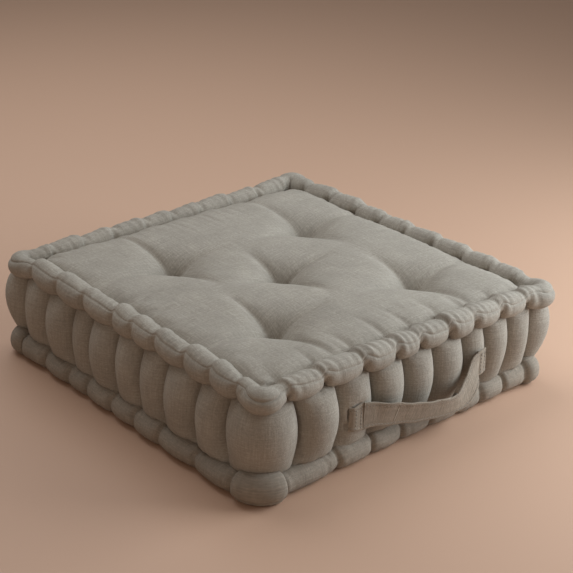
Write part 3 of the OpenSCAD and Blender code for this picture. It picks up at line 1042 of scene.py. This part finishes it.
def make_twines():
    """One twisted twine through each tuft, with a short stitch over the cloth at both ends."""
    for name, tuft in TUFTS.items():
        top = TOP_PLANE - TUFT_DEPTH + 2.4 * MM
        low = BASE_PLANE + BASE_DEPTH - 0.4 * MM
        turn = 2.2 * MM
        path = [(-turn, 0, low + 9 * MM), (-turn, 0, low + MM), (-turn * 0.6, 0, low), (turn * 0.6, 0, low),
                (turn, 0, low + MM)]
        path += [(turn * (1 - 0.8 * k / 20), 0.6 * MM * math.sin(k), low + MM + (top - low - 2 * MM) * k / 20)
                 for k in range(1, 20)]
        path += [(turn * 0.9, 0, top - MM), (turn * 0.6, 0, top), (-turn * 0.6, 0, top), (-turn, 0, top - MM),
                 (-turn, 0, top - 9 * MM)]
        line = np.array(path)
        share = np.clip((line[:, 2:] - low) / (top - low), 0, 1)
        line[:, :2] += np.array(tuft.xy) * (1 - share) + np.array(TOP_TUFTS[name].xy) * share
        thread_piece(f"twine_{name}", f"tuft_twine_{name}", [line], 1.0 * MM, sides=12, plies=3, twist=700.0)


make_filling()
make_twines()

# --- handle ---

# Edges of the strap in mm, from its left end to its right one
STRAP_UPPER = [
    (-92, -251.8, 84), (-78, -256, 83), (-60, -263, 78), (-38, -268, 73), (-14, -271, 67), (15, -273, 61),
    (39, -272, 57), (57, -268, 60), (70, -263, 68), (81, -258, 78), (92, -254.5, 87), (104, -252.3, 90),
]
STRAP_LOWER = [
    (-92, -251.8, 49), (-80, -254, 49), (-63, -256.5, 46), (-41, -259, 42), (-16, -262, 37), (15, -264, 32),
    (45, -265, 28), (67, -266, 29), (83, -266, 36), (95, -263, 46), (101, -258, 53), (104, -252.3, 55),
]
SPLIT_LEFT, SPLIT_RIGHT = 2.6, 8.4          # stations where the strap's ends meet its middle
STRAP_CLOTH = 76 * MM                       # width of the cloth that the strap is folded from


def on_curve(points, at):
    """Places on the smooth curve through the points. Station 2.5 is half way from the third to the fourth."""
    pts = np.asarray(points, float)
    i = np.clip(np.floor(at).astype(int), 0, len(pts) - 2)
    t = (at - i)[:, None]
    p0, p1 = pts[np.maximum(i - 1, 0)], pts[i]
    p2, p3 = pts[i + 1], pts[np.minimum(i + 2, len(pts) - 1)]
    squared, cubed = 2 * p0 - 5 * p1 + 4 * p2 - p3, 3 * p1 - p0 - 3 * p2 + p3
    return 0.5 * (2 * p1 + (p2 - p0) * t + squared * t ** 2 + cubed * t ** 3)


def band(name, upper, lower, start, wave):
    """A folded band of cloth between two edges: turned hems, a line of stitches beside each, and closed ends.

    Start is how far along the strap's cloth it begins, and the length that it ends at is given back."""
    n, sides = len(upper), 48
    middle = (upper + lower) / 2
    width = upper - lower
    out = unit(np.cross(width, np.gradient(middle, axis=0)))
    out *= -1 if out[0, 1] > 0 else 1
    along = start + travelled(middle)
    phi = -math.pi + np.arange(sides) / sides * 2 * math.pi
    across, through = np.cos(phi), np.sin(phi)
    q = np.sign(across) * np.abs(across) ** 0.42
    hem = np.clip((np.abs(q) - 0.70) / 0.08, 0, 1)
    groove = bell(np.abs(q) - 0.73, 0.05)
    face = np.sign(through) * np.abs(through) ** 0.5 * (1.15 + 0.45 * hem - 0.45 * groove) * MM
    ripple = 0.45 * MM * np.sin(along * 95) + 0.35 * MM * np.sin(along * 210 + 1.0)
    edge = 0.5 * MM * np.sin(along * 150 + 2.0)
    p = middle[:, None] + q[None, :, None] * width[:, None] / 2 * (1 + edge / (17 * MM))[:, None, None]
    p = p + out[:, None] * (face[None, :] + wave * ripple[:, None] * (0.4 + 0.6 * q[None, :]))[..., None]
    flat = np.empty((n, sides + 1, 2))
    flat[..., 0] = along[:, None]
    flat[..., 1] = (np.arange(sides + 1) / sides * STRAP_CLOTH)[None, :]
    faces, corners = grid_faces(n, sides, (False, True))
    places = flat[corners[..., 0], corners[..., 1]].reshape(-1, 2).tolist()
    for k in range(sides):
        places += [flat[0, k]] * 3 + [flat[-1, k]] * 3
    shell = np.concatenate([p.reshape(-1, 3), middle[:1], middle[-1:]]), faces.tolist() + end_fans(n, sides)
    stitches = []
    for share in (-0.73, 0.73):
        row = np.argmin(np.abs(q - share) + (face < 0))
        stitches += dashes(p[:, row], out, 3.4 * MM, 1.3 * MM, 0.36 * MM)
    points, polygons = joined([shell, *(tube(stitch, 0.36 * MM) for stitch in stitches)])
    sewn = polygons[len(shell[1]):]
    places += [(0.0, 0.0)] * sum(len(f) for f in sewn)
    piece = add_mesh(name, points, polygons, np.array(places))
    piece.data.polygons.foreach_set("material_index", np.array([0] * len(shell[1]) + [1] * len(sewn)))
    # the strap's cloth carries painted shade: the cover's linen, darker and warmer
    piece.data.materials.append(SHADED_STRAP_COVER)
    piece.data.materials.append(THREAD)
    return piece, along[-1]


def wall_face(x, low, high):
    """How far out the handle's side comes at each of the places x, between two heights."""
    p = boxing["p"].reshape(-1, 3)
    p = p[(p[:, 1] < -0.2) & (p[:, 2] > low) & (p[:, 2] < high)]
    return np.array([p[np.abs(p[:, 0] - a) < 2.5 * MM, 1].min() for a in x])


def make_handle():
    """The free loop, whose middle swings, whose ends bend, and whose tabs are sewn down."""
    upper, lower = np.array(STRAP_UPPER) * MM, np.array(STRAP_LOWER) * MM
    last = len(upper) - 1
    reach = 0.0
    for name, first, stop in (("strap_end_left", 0.0, SPLIT_LEFT), ("strap_middle", SPLIT_LEFT, SPLIT_RIGHT),
                              ("strap_end_right", SPLIT_RIGHT, float(last))):
        at = np.linspace(first, stop, int((stop - first) * 14))
        piece, reach = band(name, on_curve(upper, at), on_curve(lower, at), reach, wave=1.0)
        if name == "strap_middle":
            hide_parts("handle_strap")
            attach(piece, "handle")
        else:
            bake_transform(piece)
    for side, (low, high) in TABS.items():
        x = np.linspace(low.x - 2 * MM, high.x + 2 * MM, 13)
        tip = np.abs(x - (high.x if side == "left" else low.x)) / (high.x - low.x)
        if side == "left":
            y = (low.y + high.y) / 2 + 0.8 * MM * tip ** 2 + 3.5 * MM * np.clip(tip - 0.9, 0, 1) / 0.2
        else:
            y = np.maximum(wall_face(x, low.z + 6 * MM, high.z - 6 * MM) - 1.3 * MM, (low.y + high.y) / 2)
        lines = [np.stack([x, y, np.full(13, z) + drop * np.clip(tip, 0, 1) ** 2], -1)
                 for z, drop in ((high.z, -2 * MM), (low.z, 2 * MM))]
        piece, _ = band(f"strap_tab_{side}", *lines, start=0.3, wave=1.8)
        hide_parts(f"handle_tab_{side}")
        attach(piece, "cushion")
        rows = []
        for row in (low.x + 4 * MM, high.x - 4 * MM):
            z = np.linspace(low.z + 1.5 * MM, high.z - 1.5 * MM, 30)
            line = np.stack([np.full(30, row), np.full(30, np.interp(row, x, y) - 1.0 * MM), z], -1)
            rows += dashes(line, np.tile([0.0, -1.0, 0.0], (30, 1)), 3.4 * MM, 1.4 * MM, 0.45 * MM)
        thread_piece(f"strap_tacks_{side}", f"handle_tacks_{side}", rows, 0.5 * MM)


make_handle()
